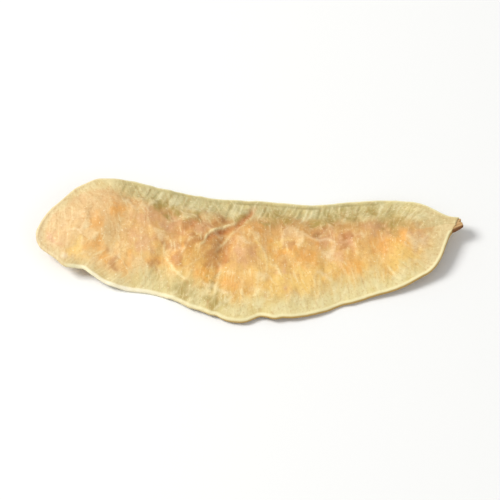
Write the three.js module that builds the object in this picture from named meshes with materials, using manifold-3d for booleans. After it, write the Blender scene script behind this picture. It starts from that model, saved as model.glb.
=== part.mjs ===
// A dried senna pod: a flat, papery legume, bent like a shallow kidney, with a cord-like suture
// all round its rim, a row of seed swellings along the middle and a torn stub of stalk at one end.
// Units are millimetres, +Z up. The pod lies on its underside with its long axis along X, the
// stalk towards +X and the hollow side of its bend towards +Y. The origin is under its middle.
import * as THREE from 'three';
import { mergeVertices } from 'three/addons/utils/BufferGeometryUtils.js';
import Module from 'manifold-3d';

const wasm = await Module();
wasm.setup();

// Driving dimensions.
const POD_WIDTH = 19;          // across the belly, rim to rim
const SUTURE_RADIUS = 0.3;     // the cord where the two valves are joined
const WEB_HALF = 0.19;         // half the thickness of the flat margin inside the cord
const SWELL_HALF = 0.3;        // what the seed chamber adds to each valve
const SWELL_STARTS = 2;        // distance in from the rim where the chamber begins to swell
const SWELL_ENDS = 5;          // and where it is fully swollen
const ARCH = 1.5;              // how far the middle stands above a line from rim to rim
const STALK_HALF = 0.22;       // what the stalk stub adds to each face
const STALK_NECK_X = 26.2;     // where the stub begins
const STALK_NECK_Y = 2.4;      // the middle of the neck, which sets the way that the stub points

// Mesh fineness.
const STATIONS = 68;           // slices from the style tip to the stalk
const AROUND = 40;             // points round each slice
const RIM_SAMPLES = 900;       // steps along the rim when a distance to it is measured
const SLOPE_STEP = 0.01;       // share of the length and width over which a slope is taken

// The rim as the pod dries: a closed line [x, y, z] from the style tip along the belly side to
// the stalk, and back along the hollow side. The end with the style has curled up on the hollow
// side, the stalk end is lifted too, and the heights between give the margins their flutter.
const STYLE_TIP = [-28.4, 0.9, 2.7];
const BELLY_SIDE = [
  [-28.0, -0.2, 2.6], [-26.0, -1.9, 2.3], [-22.8, -3.6, 2.2], [-20.7, -4.5, 1.8],
  [-18.6, -5.7, 1.0], [-15.5, -6.6, 0.5], [-12.0, -7.0, 0.42], [-8.0, -8.6, 0.8],
  [-4.0, -10.6, 0.8], [-0.6, -11.3, 0.6], [3.6, -10.9, 0.9], [8.0, -10.1, 0.6],
  [12.0, -8.8, 0.42], [16.0, -7.3, 0.6], [20.0, -6.1, 1.0], [23.4, -4.1, 1.5],
  [25.4, -1.9, 1.9], [26.4, 0.6, 2.05], [27.0, 1.9, 2.1], [28.7, 2.9, 2.3],
];
const STALK_TIP = [28.7, 3.6, 2.35];
const HOLLOW_SIDE = [
  [28.2, 4.25, 2.4], [26.8, 4.5, 2.3], [25.3, 5.3, 2.2], [23.4, 6.35, 1.9], [19.6, 7.7, 1.2],
  [14.0, 7.9, 0.7], [8.0, 7.35, 0.5], [2.0, 7.6, 0.42], [-3.2, 8.1, 0.7], [-8.2, 8.7, 1.4],
  [-12.0, 9.1, 2.4], [-16.0, 9.5, 3.5], [-19.2, 9.5, 4.1], [-22.2, 8.75, 4.0],
  [-25.2, 6.7, 3.6], [-27.3, 4.1, 3.1], [-28.3, 2.1, 2.85],
];

// Seeds lie across the pod, one behind the other, and lean towards the stalk. Each raises its
// two valves by its own height, as some are plumper than others.
const SEED_BUMPS = [0.22, 0.34, 0.4, 0.36, 0.24, 0.38, 0.26];
const SEED_HALF_WIDTH = 2.2;
const SEED_HALF_LENGTH = 4.2;
const SEED_LEAN = THREE.MathUtils.degToRad(23);
const FIRST_SEED = 0.165;      // share of the way along the pod
const LAST_SEED = 0.84;

// The walls between the seeds have sunk as the pod dried, each by its own depth.
const WALL_SAGS = [0.12, 0.32, 0.65, 0.12, 0.38, 0.15];
const WALL_HALF_WIDTH = 1.1;
const WALL_HALF_LENGTH = 6.5;

// The torn notch in the end of the stub, cut by a wedge taller than the stub is thick.
const NOTCH_DEPTH = 0.8;
const NOTCH_WIDTH = 0.7;
const WEDGE_HEIGHT = 6;

const point = (p) => new THREE.Vector3(...p);
const loopPoints = [STYLE_TIP, ...BELLY_SIDE, STALK_TIP, ...HOLLOW_SIDE].map(point);
const rim = new THREE.CatmullRomCurve3(loopPoints, true, 'centripetal');
rim.arcLengthDivisions = RIM_SAMPLES;
const stalkShare = shareOfLoopAt(BELLY_SIDE.length + 1);
const rimPlan = rim.getSpacedPoints(RIM_SAMPLES).map((p) => new THREE.Vector2(p.x, p.y));
const seeds = placeSeeds();
const walls = placeWalls();

// How far round the loop, as a share of its length, a given control point lies.
function shareOfLoopAt(index) {
  const lengths = rim.getLengths();
  const sample = Math.round((index / loopPoints.length) * RIM_SAMPLES);
  return lengths[sample] / lengths[RIM_SAMPLES];
}

// The rim's two sides at a share of the way from the style tip to the stalk tip.
function bellyEdge(along) {
  return rim.getPointAt(along * stalkShare);
}

function hollowEdge(along) {
  return rim.getPointAt(1 - along * (1 - stalkShare));
}

// Each seed's centre in plan, the direction that it lies in and how far it raises the valves.
function placeSeeds() {
  return SEED_BUMPS.map((bump, i) => {
    const along = THREE.MathUtils.lerp(FIRST_SEED, LAST_SEED, i / (SEED_BUMPS.length - 1));
    const low = bellyEdge(along);
    const high = hollowEdge(along);
    const across = new THREE.Vector2(high.x - low.x, high.y - low.y).normalize();
    across.rotateAround(new THREE.Vector2(), -SEED_LEAN);
    const centre = new THREE.Vector2((low.x + high.x) / 2, (low.y + high.y) / 2);
    return { centre, across, bump };
  });
}

// Each wall stands midway between two seeds.
function placeWalls() {
  return WALL_SAGS.map((sag, i) => {
    const [before, after] = [seeds[i], seeds[i + 1]];
    const centre = before.centre.clone().lerp(after.centre, 0.5);
    const across = before.across.clone().add(after.across).normalize();
    return { centre, across, sag };
  });
}

function rimDistance(plan) {
  return Math.sqrt(Math.min(...rimPlan.map((p) => p.distanceToSquared(plan))));
}

// How far the nearest seed raises a valve: fully over its middle, falling to 0 past its edge.
function seedRise(plan) {
  const rises = seeds.map(({ centre, across, bump }) => {
    const offset = plan.clone().sub(centre);
    const lengthwise = offset.dot(across) / SEED_HALF_LENGTH;
    const sidewise = offset.cross(across) / SEED_HALF_WIDTH;
    return bump * Math.exp(-((lengthwise ** 2 + sidewise ** 2) ** 1.5));
  });
  return Math.max(...rises);
}

// Half the pod's thickness at a point: the round suture cord, the flat web inside it, the
// swollen chamber with its seeds, and the stouter stalk stub.
function halfThickness(plan) {
  const inward = rimDistance(plan);
  const fromCordAxis = Math.min(Math.abs(inward - SUTURE_RADIUS), SUTURE_RADIUS);
  const cord = Math.sqrt(SUTURE_RADIUS ** 2 - fromCordAxis ** 2);
  const swollen = THREE.MathUtils.smoothstep(inward, SWELL_STARTS, SWELL_ENDS);
  const webBegins = THREE.MathUtils.smoothstep(inward, 0, SUTURE_RADIUS);
  const stalk = STALK_HALF * THREE.MathUtils.smoothstep(plan.x, STALK_NECK_X - 1, STALK_NECK_X + 1);
  const web = WEB_HALF + stalk + swollen * (SWELL_HALF + seedRise(plan));
  return Math.max(cord, web * webBegins);
}

// How far the sunk walls pull the pod's middle surface down.
function wallSag(plan) {
  const sags = walls.map(({ centre, across, sag }) => {
    const offset = plan.clone().sub(centre);
    const lengthwise = Math.min(1, Math.abs(offset.dot(across)) / WALL_HALF_LENGTH);
    const sidewise = offset.cross(across) / WALL_HALF_WIDTH;
    return sag * Math.exp(-(sidewise ** 2)) * (1 - lengthwise ** 2);
  });
  return Math.max(...sags);
}

// The surface midway between the valves. across is -1 on the belly rim and 1 on the hollow rim.
function middle(along, across) {
  const low = bellyEdge(along);
  const high = hollowEdge(along);
  const width = Math.hypot(high.x - low.x, high.y - low.y);
  const place = low.lerp(high, (across + 1) / 2);
  place.z += ARCH * (width / POD_WIDTH) ** 1.5 * (1 - across ** 2);
  place.z -= wallSag(new THREE.Vector2(place.x, place.y)) * (1 - across ** 4);
  return place;
}

// The upward normal of the middle surface, from its slope along and across the pod.
function middleNormal(along, across) {
  const a = THREE.MathUtils.clamp(along, SLOPE_STEP, 1 - SLOPE_STEP);
  const c = THREE.MathUtils.clamp(across, SLOPE_STEP - 1, 1 - SLOPE_STEP);
  const lengthwise = middle(a + SLOPE_STEP, c).sub(middle(a - SLOPE_STEP, c));
  const sidewise = middle(a, c + SLOPE_STEP).sub(middle(a, c - SLOPE_STEP));
  return lengthwise.cross(sidewise).normalize();
}

// The closed skin: a sphere's slices become the pod's slices, from the style tip to the stalk.
function podSkin() {
  const geometry = new THREE.SphereGeometry(1, AROUND, STATIONS);
  const position = geometry.getAttribute('position');
  const uv = geometry.getAttribute('uv');
  for (let i = 0; i < position.count; i++) {
    const along = 1 - uv.getY(i);
    const turn = uv.getX(i) * 2 * Math.PI;
    const across = -Math.cos(turn);
    const place = middle(along, across);
    const thick = halfThickness(new THREE.Vector2(place.x, place.y));
    const atTip = along < 1e-6 || along > 1 - 1e-6;
    const side = atTip ? 0 : Math.sign(Math.round(Math.sin(turn) * 1e6));
    place.addScaledVector(middleNormal(along, across), side * thick);
    position.setXYZ(i, place.x, place.y, place.z);
  }
  return geometry;
}

// A three.js geometry as a manifold-3d solid.
function solidOf(geometry) {
  const bare = new THREE.BufferGeometry();
  bare.setAttribute('position', geometry.getAttribute('position'));
  bare.setIndex(geometry.getIndex());
  const merged = mergeVertices(bare, 1e-4);
  return new wasm.Manifold(new wasm.Mesh({
    numProp: 3,
    vertProperties: merged.getAttribute('position').array,
    triVerts: Uint32Array.from(merged.getIndex().array),
  }));
}

// A wedge that stands through the end of the stub and opens away from the pod.
function notchWedge() {
  const wedge = new THREE.Shape();
  wedge.moveTo(-NOTCH_DEPTH, 0);
  wedge.lineTo(NOTCH_DEPTH, -NOTCH_WIDTH);
  wedge.lineTo(NOTCH_DEPTH, NOTCH_WIDTH);
  wedge.closePath();
  const geometry = new THREE.ExtrudeGeometry(wedge, { depth: WEDGE_HEIGHT, bevelEnabled: false });
  geometry.rotateZ(Math.atan2(STALK_TIP[1] - STALK_NECK_Y, STALK_TIP[0] - STALK_NECK_X));
  geometry.translate(STALK_TIP[0], STALK_TIP[1], STALK_TIP[2] - WEDGE_HEIGHT / 2);
  return mergeVertices(geometry);
}

// The turn that lays a solid on the face of its convex hull that its weight stands on. Of the
// hull's faces with the solid's centre above them, that is the one that already faces down most.
function restingTurn(solid) {
  const hull = solid.hull().getMesh();
  const centre = centreOfMass(solid);
  const corner = (i) => new THREE.Vector3(...hull.vertProperties.slice(i * 3, i * 3 + 3));
  let best = null;
  for (let i = 0; i < hull.triVerts.length; i += 3) {
    const face = new THREE.Triangle(...[0, 1, 2].map((k) => corner(hull.triVerts[i + k])));
    const normal = face.getNormal(new THREE.Vector3());
    const height = centre.clone().sub(face.a).dot(normal);
    const foot = centre.clone().addScaledVector(normal, -height);
    if (face.containsPoint(foot) && (best === null || normal.z < best.z)) best = normal;
  }
  return new THREE.Quaternion().setFromUnitVectors(best, new THREE.Vector3(0, 0, -1));
}

// A solid's centre of mass, as the sum of the tetrahedra from the origin to each of its faces.
function centreOfMass(solid) {
  const { vertProperties, triVerts } = solid.getMesh();
  const corner = (i) => new THREE.Vector3(...vertProperties.slice(i * 3, i * 3 + 3));
  const sum = new THREE.Vector3();
  let volume = 0;
  for (let i = 0; i < triVerts.length; i += 3) {
    const [a, b, c] = [0, 1, 2].map((k) => corner(triVerts[i + k]));
    const share = a.dot(b.clone().cross(c)) / 6;
    volume += share;
    sum.addScaledVector(a.add(b).add(c), share / 4);
  }
  return sum.divideScalar(volume);
}

const pod = solidOf(podSkin()).subtract(solidOf(notchWedge()));
const made = pod.getMesh();
const podGeometry = new THREE.BufferGeometry();
podGeometry.setAttribute('position', new THREE.BufferAttribute(made.vertProperties, 3));
podGeometry.setIndex(new THREE.BufferAttribute(made.triVerts, 1));
podGeometry.applyQuaternion(restingTurn(pod));
podGeometry.computeBoundingBox();
const box = podGeometry.boundingBox;
podGeometry.translate(-(box.min.x + box.max.x) / 2, -(box.min.y + box.max.y) / 2, -box.min.z);
podGeometry.computeVertexNormals();

const driedPodSkin = new THREE.MeshStandardMaterial({
  color: 0xd8b878, roughness: 0.6, metalness: 0,
});

const sennaPod = new THREE.Group();
const podMesh = new THREE.Mesh(podGeometry, driedPodSkin);
podMesh.name = 'pod';
sennaPod.add(podMesh);

export default sennaPod;
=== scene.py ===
"""A dried senna pod, lying on a pale floor: two papery valves joined by a pale suture cord all
round, veined and crumpled as they dried, with the torn stub of the stalk at one end."""
import math

import bpy
import numpy as np
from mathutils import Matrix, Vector, kdtree, noise


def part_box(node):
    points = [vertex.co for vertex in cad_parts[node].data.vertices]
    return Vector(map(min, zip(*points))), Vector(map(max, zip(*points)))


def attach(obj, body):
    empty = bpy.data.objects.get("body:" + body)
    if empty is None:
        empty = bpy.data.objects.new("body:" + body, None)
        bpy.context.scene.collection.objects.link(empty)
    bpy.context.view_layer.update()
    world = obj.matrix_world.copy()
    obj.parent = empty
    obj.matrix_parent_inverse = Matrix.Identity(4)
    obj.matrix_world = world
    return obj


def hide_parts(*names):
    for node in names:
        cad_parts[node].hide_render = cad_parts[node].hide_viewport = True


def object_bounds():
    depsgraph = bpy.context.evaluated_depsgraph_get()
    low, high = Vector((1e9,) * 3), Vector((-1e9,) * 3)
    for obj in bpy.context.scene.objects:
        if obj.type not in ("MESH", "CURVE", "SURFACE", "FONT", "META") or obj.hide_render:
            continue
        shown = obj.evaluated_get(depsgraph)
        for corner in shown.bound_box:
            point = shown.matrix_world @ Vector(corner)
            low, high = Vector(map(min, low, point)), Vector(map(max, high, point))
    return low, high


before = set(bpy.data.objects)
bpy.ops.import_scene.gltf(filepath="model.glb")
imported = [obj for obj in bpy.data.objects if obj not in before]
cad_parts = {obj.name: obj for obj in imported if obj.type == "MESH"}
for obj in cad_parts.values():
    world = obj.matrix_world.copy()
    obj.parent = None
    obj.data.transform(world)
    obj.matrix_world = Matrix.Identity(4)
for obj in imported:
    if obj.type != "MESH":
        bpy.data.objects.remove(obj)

cad_low, cad_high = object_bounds()

MM = 0.001

# ---------------------------------------------------------------------------------------------
# Sizes of the pod's own features, in millimetres. Places along the pod are its X, which grows
# from the style end to the stalk. A pair of values is the stretch over which something comes in
# or fades: it begins at the first, and is done at the second.

LENGTH = (cad_high.x - cad_low.x) / MM
WIDTH = (cad_high.y - cad_low.y) / MM
HEIGHT = (cad_high.z - cad_low.z) / MM
MERGE = 0.002                    # corners of the CAD solid closer than this are one
QUAD_BEND = math.radians(70)     # how far two triangles that make one quad may bend or slant
SLIGHT = 0.004                   # a share of a relief's height that isn't worth a move
GRAIN_BENDS = (-27, -14)         # the skin's grain turns from straight to along both rims

# The neck and the style.
NECK = (27.44, 3.9)              # where the valves end in a slanting lip
NECK_FROM = 2.0                  # the neck is what lies further on than this, in Y
LIP_FACES = (0.908, -0.418, 0)
LIP_EDGE = 0.22                  # how far behind the lip its edge is held sharp
STYLE_HEIGHT = 1.2               # the pod's middle line at the style end, in Y
STYLE_SCAR = (-24.6, -1.2)       # where the style dried up and fell off
SCAR_RADIUS = 0.42
SCAR_HEIGHT = 0.1

# The suture all round: a low bead on its cord, a groove inside that, and the fine line where
# the two valves meet. Inward is how far in from the rim something lies.
CORD_RADIUS = 0.3
RIM_RUN_ON = 0.6                 # from where the belly's seam ends to the lip's lower corner
BEAD_INWARD = 0.9 * CORD_RADIUS
BEAD_WIDTH = 0.16
BEAD_HEIGHT = 0.03
GROOVE_INWARD = 0.7
GROOVE_WIDTH = 0.18
GROOVE_DEPTH = 0.07
GROOVE_PATCH = 2.6               # length of its deep and shallow stretches
FAINT_GROOVE = 0.25              # its share on the belly side and towards the ends
GROOVE_BEGINS = (-22, -10)
FULL_GROOVE_BEGINS = (-8, 2)     # on the hollow side
FULL_GROOVE_ENDS = (16, 21)
JOIN_WIDTH = 0.25
JOIN_DEPTH = 0.04
JOIN_TILT = 0.28                 # it shows where the skin's normal rises less than this

# The trough that the web has dried into on the hollow side.
TROUGH_INWARD = 1.9
TROUGH_WIDTH = 1.0
TROUGH_DEPTH = 0.18
TROUGH_BEGINS = (12, 22)         # along the grain
TROUGH_ENDS = (15, 21)

# The rim's small waves, in plan and up and down.
RIPPLE = 0.8                     # length of the finest
RIPPLE_SWAY = 0.07
RIPPLE_RISE = 0.05
RIM_DIP = 2.4                    # length of the longer ones up and down
DIP_RISE = 0.24
SWAY_REACH = 1.6                 # how far in from the rim they are felt in plan
RISE_REACH = 2.2                 # and up and down
RIM_CALMS = (-7, 4)              # they get lower here
RIM_CALM = 0.55                  # by this share
BOX_ROOM = 0.5                   # and fade out this near the CAD solid's box

# The crumpled skin over the seeds.
CRUMPLES_RISE = (1.2, 3.6)       # inward
CRUMPLES_END = (23, 25.5)
BILLOW = 3.4                     # size of the soft billows
BILLOW_HEIGHT = 0.22
RIDGE = 3.3                      # spacing of the sharp ridges that cross them
RIDGE_LENGTH = 5.0
RIDGE_HEIGHT = 0.24
RIDGE_FOOT = 0.7                 # a ridge's width at its foot, as a share of that spacing
RIDGE_LEAN = 0.45                # how far it goes along the pod for each millimetre across
RIDGE_DRIFT = 0.9                # how far it strays from that
DRIFT = 2.0                      # and over what length
RIDGED = 4.0                     # size of the patches that have them
CREST = (0.72, 0.95)             # from what share of a ridge's height its crest gets a painted highlight
PUCKER = 1.1                     # size of the fine puckers
PUCKER_HEIGHT = 0.05
PUCKERS_RISE = (0.7, 2.2)        # inward

# The fine cross-lines of the margin.
STRIA_PITCH = 0.38
STRIA_LENGTH = 5.0
STRIA_HEIGHT = 0.04
STRIA_LEAN = math.tan(math.radians(17))
STRIA_GROUP = 2.4                # how many of them a broader line of colour takes in
STRIAE_BEGIN = (0.3, 0.9)        # inward
STRIAE_END = (2.0, 5.0)          # inward
STRIAE_APART = (0.2, 2.0)        # off the pod's middle line, where the two sides' would meet
STRIAE_GROW = (9, 18)            # along the grain: they are fainter round the style end
STRIAE_FADE = (19, 24)           # and towards the neck
STRIAE_ON_BELLY = 0.45           # how plain they are there, as a share

# The veins, and the listed lines.
VEIN_SEED = 11
VEIN_WIDTH = 0.12
VEIN_HEIGHT = 0.04
VEIN_STEP = 0.12                 # how far apart a line's points lie
VEIN_PITCH = 1.1                 # spacing of the veins where they leave the suture
VEIN_LEAN = math.radians(24)
VEIN_ENDS = (1.2, 0.8)           # how far the first is from the style tip, the last from the neck
VEIN_JITTER = 0.3                # how far each strays from that spacing
VEIN_LENGTHS = (3.5, 10.5)
VEIN_STRENGTHS = (0.5, 1)
VEIN_TURN = 0.11                 # how much a vein turns at each step, in radians
FORK_CHANCE = 0.022              # at each step
FORK_ANGLES = (0.5, 0.9)         # in radians
FORKS_FROM = 1.5                 # a vein shorter than this has no fork
FORK_LENGTH = 0.55               # shares of the vein's own
FORK_STRENGTH = 0.75
LINE_SWAY = 0.07                 # how unsteady a listed line is
LINE_TIP = 0.06                  # share of its length that each end falls short of nothing
LINE_BREAK = 0.8                 # length of a line's strong and weak stretches
WRINKLE_WIDTH = 0.17
WRINKLE_HEIGHT = 0.12
FOLD_WIDTH = 0.42
FOLD_DEPTH = 0.32

# The straw-coloured margin, and what lies on it. A place with a half width, (x, half width), is
# where something is at its most.
HOLLOW_MARGIN = 3.6              # its width on the hollow side
BELLY_MARGIN = 2.9
STYLE_MARGIN = 1.0               # round the style end
MARGIN_WIDENS = (5, 22)          # along the grain
MARGIN_LOBE = 2.5                # size of the lobes of its inner edge
HOLLOW_NARROWS = (5, 4)          # a place with a half width
BELLY_NARROWS = (21, 4)
NECK_IS_MARGIN = (23.6, 26.2)
STREAK_WIDTH = 0.5               # of the streaks across the pod that it ends in
STREAK_LENGTH = 2.4
STYLE_END = (6, 20)              # along the grain: the style end's own colour fades out
STYLE_EDGE = (-28, 3.5)          # and where its margin is brownest
BLOOM_LOBE = 1.6                 # size of the pale patches on the margin
BLOOM_TO_NECK = (-2, 6)          # the belly side's margin gets paler on the way to the neck
BLOOM_ON_BELLY = (-16, 4)        # and it is pale here too
SAGE_BEGINS = (-21, -10)         # the green left on the hollow side, deepened with painted shade
SAGE_FADES = (17, 23)
SAGE_ON_BELLY = (-9, 4.5)
SAGE_ENDS = (1.8, 4.6)           # inward
SAGE_LOBE = 1.3
NECK_PALES = (20, 26)

# The colours of the web between the margins.
HOLLOW_HALF = (-2, 5)            # across the grain: browner towards the hollow side
BELLY_HALF = (0, 5)              # and yellower towards the belly
SLOPE_INWARD = 3.8               # painted shade, brown, on the slope inside the hollow side's margin
SLOPE_WIDTH = 1.7
SLOPE_BEGINS = (-15, -9)
SLOPE_LOBE = 1.6

# The cord's colours: pale on top, palest along part of the belly, where a painted highlight
# brightens it, and painted shade, ochre, on the belly's outer face.
HOLLOW_CORD = (0.18, 0.4)        # inward
BELLY_CORD = 0.5                 # how far in from the rim it reaches on the belly
BELLY_CORD_WIDENS = (-12, -4)
BELLY_CORD_EDGE = 0.32           # how softly it ends
HOLLOW_CORD_PALES = (-22, -12)
BELLY_CORD_PALES = (-25, -23.4)
CORD_PALEST_AND_LIT = (-16.5, 6.5)
CORD_PATCH = (1.1, 0.5)          # length and width of its paler and duller stretches
SHADE_TILT = (0.6, 1.0)           # how far the skin's normal rises where that face's painted shade ends
SHADE_INWARD = 1.0
RIM_SHADE = (0.06, 0.2)           # inward: the very rim gets the same painted shade
RIM_SHADE_BEGINS = (-4, 6)
SHADE_BEGINS = (14, 30)           # along the grain

# The soft spots of colour.
SPOT_SWAY = 1.3                  # how far a soft spot's edge strays
SPOT_LOBE = 1.5                  # size of the lobes of that edge
SPOT_STRETCH = 1.2               # how much longer across the pod than along it
SPOT_STREAK_WIDTH = 0.55
SPOT_STREAK_LENGTH = 1.8

# The stalk's torn stub.
STUB_START = (26.2, 3.75)        # in plan, inside the neck
STUB_END = (28.33, 4.41)         # and at its torn end
STUB_NEAR = 0.9                  # the CAD pod's corners this near give it its height
STUB_HALF_WIDTH = 1.35           # at its start
STUB_END_HALF_WIDTH = 0.78
STUB_HALF_DEPTH = 0.34
STUB_SIDES = 32
STUB_RINGS = 14
STUB_RING_DEPTH = 0.99           # each ring's thickness, as a share of the last one's
STUB_CAP_RINGS = 4               # rings across its torn end
STUB_CAP_RING = 0.72             # each one's size, as a share of the last one's
STUB_RIDGE = 0.22                # size of its lengthwise ridges, as a share of its half width
STUB_RIDGE_LENGTH = 1.5
STUB_RIDGE_HEIGHT = 0.06
STUB_BURIED = (0.2, 0.9)         # along it, where it comes out of the lip
STUB_SINK = 0.16                 # how far it shrinks inside
STUB_SHADED_SIDE = (0.45, 0.75)    # shares of its half width, towards the belly, where its side is painted shade
STUB_PALES = (0.5, 0.1)          # how far from its end it is freshly torn
TEAR_FROM = 0.6                  # how far from its end the tear begins
NOTCH = (0.1, 0.16)              # between its two prongs, off its middle, with a half width
NOTCH_DEPTH = 0.3
CORNER = (0.45, 0.7)             # where its corners begin, off its middle
CORNER_DEPTH = 0.15
RAG = (0.1, 0.12)                # width and thickness of the fine shreds of its edge
RAG_DEPTH = 0.2
SHRED = 0.3                      # size of the coarse ones
SHRED_DEPTH = 0.14
FIBRES = 9
FIBRE_SEED = 4
FIBRE_RADIUS = 0.045             # at its root
FIBRE_TIP_RADIUS = 0.012
FIBRE_LENGTHS = (0.3, 0.5)
FIBRES_WITHIN = (0.7, 0.6)       # shares of the stub's half width and half depth at its end
FIBRE_ROOT = 0.2                 # how far inside the end a fibre's middle lies
FIBRE_SPREAD = 14                # degrees, for each millimetre off the stub's middle
FIBRE_STRAY = (8, 6)             # degrees that it strays up or down, and sideways

# Where the rim strays from an even curve, towards +Y or away from it, along the belly side
# and along the hollow side: bells (x, half width, height).
BELLY_WAVES = [(-24.6, 1.0, -0.6), (-22.0, 0.9, 0.3), (-15.0, 3.0, 0.4), (-8.0, 1.0, -0.3),
               (-4.5, 0.8, 0.2), (1.3, 1.5, 0.85), (4.3, 0.8, 0.2), (11.9, 1.3, 0.3),
               (24.4, 1.4, -0.4)]
HOLLOW_WAVES = [(-25.4, 1.2, -0.45), (-20.0, 1.1, 0.3), (-15.8, 0.7, 0.2), (2.2, 5.0, 0.55),
                (22.8, 2.2, 0.4)]

# Lines over the upper valve, listed as points (x, y) in millimetres. Folds are where a wall
# between two seeds has sunk, each with its depth; wrinkles are sharp pale ridges of the skin,
# each with its strength.
FOLDS = [
    (1.0, [(0.6, 7.6), (0.1, 6.4), (-0.8, 5.1), (-1.6, 4.2), (-2.0, 3.2)]),
    (0.45, [(-1.8, 3.8), (-2.2, 1.5), (-2.8, 0.6), (-3.2, -1.6), (-4.2, -3.1), (-4.6, -5.8)]),
    (0.9, [(-5.9, 0.9), (-5.2, 1.8), (-4.2, 2.5), (-3.0, 3.2), (-1.9, 3.8)]),
    (0.2, [(13.3, 7.2), (11.8, 4.8), (10.2, 3.4)]),
    (0.35, [(-5.7, 6.5), (-7.7, 3.8), (-8.6, 2.7), (-9.9, 1.6)]),
    (0.3, [(12.4, 3.0), (13.4, 1.0), (13.8, -1.4)]),
]
WRINKLES = [
    (1.4, [(-6.7, 0.2), (-6.2, 0.7), (-6.0, 1.5), (-5.6, 2.3), (-4.7, 3.0), (-3.1, 3.9), (-1.8, 4.7)]),
    (0.5, [(-9.3, -1.4), (-8.8, -0.5), (-8.2, 0.6), (-7.8, 1.1), (-6.9, 1.3)]),
    (0.9, [(-11.4, 0.9), (-11.2, -0.4), (-10.8, -1.6), (-10.3, -2.4), (-9.8, -3.1), (-9.2, -3.7),
           (-8.3, -4.3), (-7.7, -3.2)]),
    (0.55, [(-1.2, 3.9), (-2.1, 2.9), (-3.0, 1.9), (-3.9, 0.6), (-4.9, -0.7)]),
    (0.5, [(-0.3, 3.4), (0.3, 2.3), (0.9, 1.0), (1.6, -0.2), (2.0, -1.1), (2.1, -3.2), (2.0, -4.1)]),
    (0.9, [(2.7, -2.4), (3.5, -2.6), (3.9, -3.5), (4.3, -4.3)]),
    (0.7, [(-4.2, -2.0), (-3.9, -2.7), (-4.3, -4.5), (-4.5, -5.7), (-4.9, -7.4)]),
    (0.7, [(0.4, -6.9), (0.9, -6.5), (1.6, -5.4)]),
    (0.4, [(-0.9, -4.4), (-1.0, -6.2), (-1.2, -8.2)]),
    (0.4, [(1.3, -3.0), (1.0, -5.2), (0.8, -7.6)]),
    (0.35, [(8.6, 1.4), (9.9, 2.9), (10.5, 3.9)]),
    (0.5, [(8.6, -3.6), (8.65, -5.2), (8.6, -6.8)]),
    (0.5, [(9.15, -4.0), (9.1, -5.4), (9.15, -7.0)]),
    (0.9, [(18.2, -2.2), (18.8, -3.0), (19.5, -3.7), (20.4, -4.1)]),
    (0.5, [(-11.1, 3.8), (-9.5, 4.6), (-8.2, 4.8), (-7.0, 5.3)]),
]

# Where each tint has gathered in the valves as they dried, through both of them: soft spots
# (x, y, radius).
TINTS = {
    "gold": [(3.6, -5.6, 2.2), (7.2, -5.2, 2.4), (6.2, -3.6, 1.6), (-10.2, -4.4, 1.8),
             (1.6, -0.8, 1.1), (15.0, -4.4, 2.2), (4.6, 0.8, 1.8), (20.2, 0.0, 2.2),
             (21.6, -0.8, 1.8), (19.3, -1.6, 1.6), (-22.6, -0.4, 1.6), (11.1, -2.2, 1.5)],
    "rose": [(-14.6, 0.6, 1.9), (-13.4, 4.4, 2.0), (-10.6, 3.6, 2.2), (-1.0, -0.8, 1.8),
             (4.5, -3.6, 0.9), (5.1, -5.8, 0.8), (9.8, 2.2, 1.7), (-6.6, 3.8, 2.0),
             (12.8, 1.6, 1.6), (11.6, -0.8, 1.6), (17.0, 3.4, 1.6), (22.6, 2.0, 1.4), (-26.4, 1.2, 0.9)],
    "amber": [(-20.4, 3.0, 1.6), (-20.2, 0.8, 1.7), (-17.8, 5.2, 1.2), (-19.2, -1.2, 1.3),
              (-12.8, -2.0, 1.5), (1.0, 3.6, 1.5), (7.4, -1.4, 1.6), (-2.6, -5.4, 1.6),
              (14.0, -2.8, 1.6), (17.6, 0.8, 1.8), (-6.0, -3.6, 1.6), (-8.4, 0.0, 1.2),
              (3.8, -0.4, 1.0), (8.4, 1.8, 1.0), (2.6, 1.6, 0.9), (20.4, 1.8, 1.9),
              (5.6, 0.6, 1.5), (-10.2, -2.0, 1.3), (-15.9, -2.4, 1.3), (5.2, 3.4, 1.4)],
    # Umber: brown stains, and painted shade beside the folds and along the hollow side's slope.
    "umber_and_shade": [(-3.8, 1.4, 1.7), (-4.6, -0.2, 1.5), (-3.8, -1.4, 1.2), (-5.4, -2.0, 1.1),
              (-7.2, 1.0, 1.2), (13.0, 2.6, 0.7), (-9.4, -1.8, 1.3), (9.6, 3.2, 0.8),
              (18.6, 4.0, 0.8), (-10.1, 0.4, 1.3), (-17.9, -2.0, 1.0), (-4.0, 4.4, 1.0),
              (5.0, 3.4, 1.0), (-5.6, 3.6, 0.8), (-8.2, 3.6, 1.2), (5.4, 0.8, 0.9),
              (12.3, 0.6, 0.8), (-12.4, -2.4, 0.8)],
    "olive": [(4.1, 5.4, 1.6), (2.2, 4.6, 1.0), (-8.6, -6.0, 1.6), (9.1, 4.6, 1.2),
              (-4.6, -7.6, 1.4), (10.8, 5.4, 1.3), (-12.2, 6.6, 1.3), (-10.0, 5.6, 1.0),
              (-7.6, 5.2, 1.1), (-1.0, 5.6, 1.1), (12.9, 6.2, 1.6), (16.6, 6.8, 0.9),
              (3.4, 6.2, 1.3), (-5.2, -4.9, 0.8), (19.2, 4.5, 1.7)],
}


# ---------------------------------------------------------------------------------------------
# Small helpers for work by hand.

def only(piece):
    """Makes one piece the only one that the next operators work on."""
    bpy.ops.object.select_all(action="DESELECT")
    piece.select_set(True)
    bpy.context.view_layer.objects.active = piece


def shape_with(piece, kind, **settings):
    """Adds a modifier and applies it."""
    only(piece)
    modifier = piece.modifiers.new(kind.title(), kind)
    for name, value in settings.items():
        setattr(modifier, name, value)
    bpy.ops.object.modifier_apply(modifier=modifier.name)


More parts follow.
